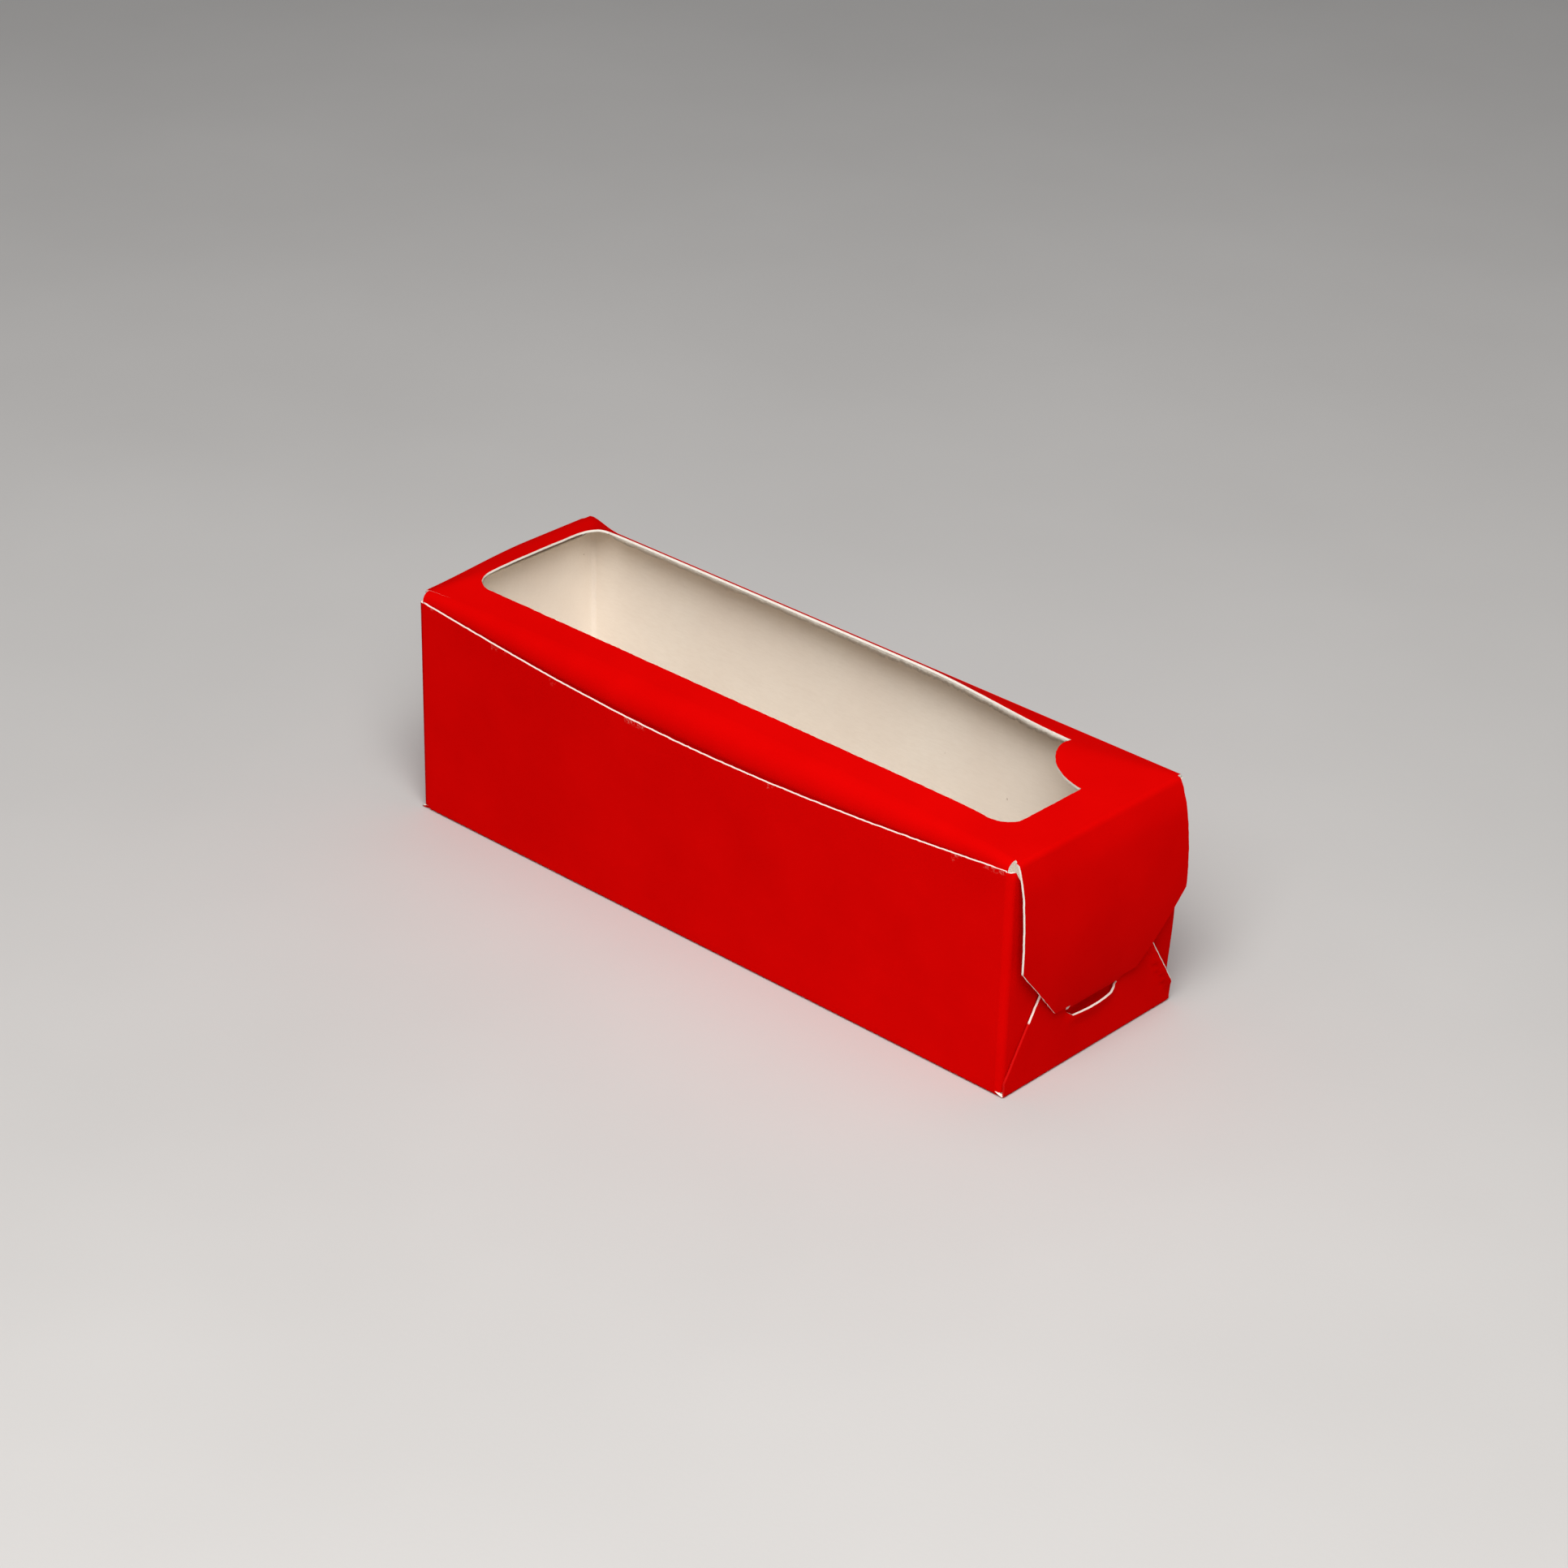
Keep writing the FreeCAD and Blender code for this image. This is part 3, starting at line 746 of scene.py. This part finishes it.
def lower_flap(side):
    """The bottom's end flap, with a curved slit whose lower lip the tongue pushes out."""
    sign = 1 if side == "right" else -1
    fold = Fold(Vector((sign * (HALF_LENGTH - BASE_ROLL), 0, 0)), -Y * sign, X * sign, Z, BASE_ROLL)
    wide = LOWER_HALF if side == "right" else LOWER_HALF - LEFT_TRIM
    half = [(wide, 0), (wide, fold.past(LOWER_STEP)), (LOWER_TOP_HALF, fold.past(LOWER_TOP))]
    ring = ragged(trace(mirror(half)), 41 + sign, 0.12, lambda p: p.y > 1.5)
    low_lip, high_lip = fold.past(SLIT_HEIGHT), fold.past(SLIT_HEIGHT + SLIT_WIDTH)
    tips = low_lip + SLIT_LIFT
    slit = mirror([
        (SLIT_HALF - 2, low_lip),
        (SLIT_HALF, tips),
        (SLIT_HALF - 0.6, tips + 0.8),
        (SLIT_HALF - 2, high_lip),
    ])
    hole = ragged(trace(slit, 0.6), 45 + sign, 0.08)

    def place(s, t):
        point = fold.at(s, t)
        width = max(1 - (s / SLIT_HALF) ** 2, 0)
        if point.z < SLIT_HEIGHT + 1:
            push = LIP_PUSH * ease(1 - (SLIT_HEIGHT - point.z) / 3)
        elif point.z > SLIT_HEIGHT + 1:
            push = -TONGUE_PRESS * ease(1 - (point.z - SLIT_HEIGHT - SLIT_WIDTH) / 8)
        else:
            push = 0
        # the right flap's sloping back edge curls outward over its last millimetre or two
        slope = (LOWER_HALF - LOWER_TOP_HALF) / (LOWER_TOP - LOWER_STEP)
        inward = LOWER_HALF - slope * (point.z - LOWER_STEP) - point.y
        curl = EDGE_CURL * ease(1 - inward / 1.6) * ease((point.z - 3) / 4) if side == "right" else 0
        return point + X * sign * (width * push + curl)

    def worn(s, t):
        front = fold.at(s, t).y < -LOWER_TOP_HALF
        return -1.0 if front and t < fold.past(CRUSHED_BELOW) else 0.0

    rings = [ring, hole]
    piece = sheet(f"{side}_lower_flap_board", rings, place, fold.facing(), 1.2, fold.rows(), worn)
    hinge(piece, f"{side}_lower_end_flap", fold)


# ---- loose fibre along the window's torn back edge -----------------------------------------------


def torn_edge():
    """A ragged lip of split board that hangs under the window's back edge."""
    random.seed(5)
    start, finish, step = WINDOW_LEFT + WINDOW_RADIUS, WINDOW_RIGHT - LOBE_RADIUS, 0.4
    count = int((finish - start) / step)
    verts, faces = [], []
    for k in range(count + 1):
        x = start + (finish - start) * k / count
        top = TOP + lid_rise(x, WINDOW_BACK)
        tear = noise.noise(Vector((x * 0.35, 3.1, 0))) + 0.6 * noise.noise(Vector((x * 1.7, 9.2, 0)))
        fray = 1.1 + 0.35 * tear + 0.5 * random.random() * ease((x + 20) / 30)
        fray *= ease((x - start) / 3) * ease((finish - x) / 3)
        fray = max(fray, 0.05)
        lean = -0.12 - 0.1 * random.random()
        verts += [
            (x, WINDOW_BACK + 0.10, top - 0.05),
            (x, WINDOW_BACK - 0.06, top - 0.25),
            (x, WINDOW_BACK + lean, top - 0.45 - fray),
            (x, WINDOW_BACK + 0.2, top - 0.45 - fray * 0.7),
            (x, WINDOW_BACK + 0.45, top - 0.40),
        ]
    ring = 5
    for k in range(count):
        for j in range(ring):
            a, b = k * ring + j, k * ring + (j + 1) % ring
            faces.append((a, b, b + ring, a + ring))
    faces.append(tuple(reversed(range(ring))))
    faces.append(tuple(range(count * ring, count * ring + ring)))
    mesh = bpy.data.meshes.new("window_torn_edge")
    mesh.from_pydata([tuple(c * MM for c in v) for v in verts], [], faces)
    mesh.polygons.foreach_set("use_smooth", [True] * len(faces))
    mesh.materials.append(CUT)
    piece = board_object("window_torn_edge", mesh)
    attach(piece, "lid")


# ---- floor, light and camera ---------------------------------------------------------------------


def floor():
    """A wide pale floor under the box."""
    bpy.ops.mesh.primitive_plane_add(size=12)
    plane = bpy.context.object
    plane.name = "studio_floor"
    plane.data.materials.append(pale_floor())


def area_light(name, spot, size, power, tint=(1, 1, 1)):
    """A square soft light that faces the box."""
    data = bpy.data.lights.new(name, "AREA")
    data.size, data.energy, data.color = size, power, tint
    lamp = bpy.data.objects.new(name, data)
    bpy.context.scene.collection.objects.link(lamp)
    lamp.location = spot
    lamp.rotation_mode = "QUATERNION"
    lamp.rotation_quaternion = (Vector((0, 0, 0.03)) - Vector(spot)).to_track_quat("-Z", "Y")


def lights():
    """A broad light from the front right, a faint one from above, and a pale surround."""
    area_light("main_light", (0.41, -0.50, 0.89), 0.7, 13, (1, 0.98, 0.95))
    area_light("top_light", (-0.1, 0.1, 1.2), 0.8, 1.5, (1, 0.99, 0.97))
    world = bpy.data.worlds.new("surround")
    bpy.context.scene.world = world
    world.use_nodes = True
    world.node_tree.nodes["Background"].inputs["Color"].default_value = (0.80, 0.82, 0.85, 1)
    world.node_tree.nodes["Background"].inputs["Strength"].default_value = 0.14


def camera():
    """The view: from the front right and above, with a slight roll."""
    azimuth, elevation, roll = (math.radians(a) for a in (42.33, 28.56, 1.348))
    aside, raised, distance = 0.735, 26.18, 911
    back = Vector((
        math.sin(azimuth) * math.cos(elevation),
        -math.cos(azimuth) * math.cos(elevation),
        math.sin(elevation),
    ))
    level = (-back).cross(Z).normalized()
    upright = level.cross(-back)
    right = level * math.cos(roll) + upright * math.sin(roll)
    up = upright * math.cos(roll) - level * math.sin(roll)
    data = bpy.data.cameras.new("camera")
    data.lens, data.sensor_width = 91.92, 36
    eye = bpy.data.objects.new("camera", data)
    bpy.context.scene.collection.objects.link(eye)
    place = (right * aside + up * raised + back * distance) * MM
    eye.matrix_world = Matrix((right, up, back)).transposed().to_4x4()
    eye.location = place
    bpy.context.scene.camera = eye
    bpy.context.scene.view_settings.view_transform = "Standard"


bottom()
front_wall()
back_wall()
lid()
tuck_flap()
for side in ("right", "left"):
    upper_flap(side)
    lower_flap(side)
    for wall in ("front", "back"):
        dust_flap(side, wall)
torn_edge()
floor()
lights()
camera()
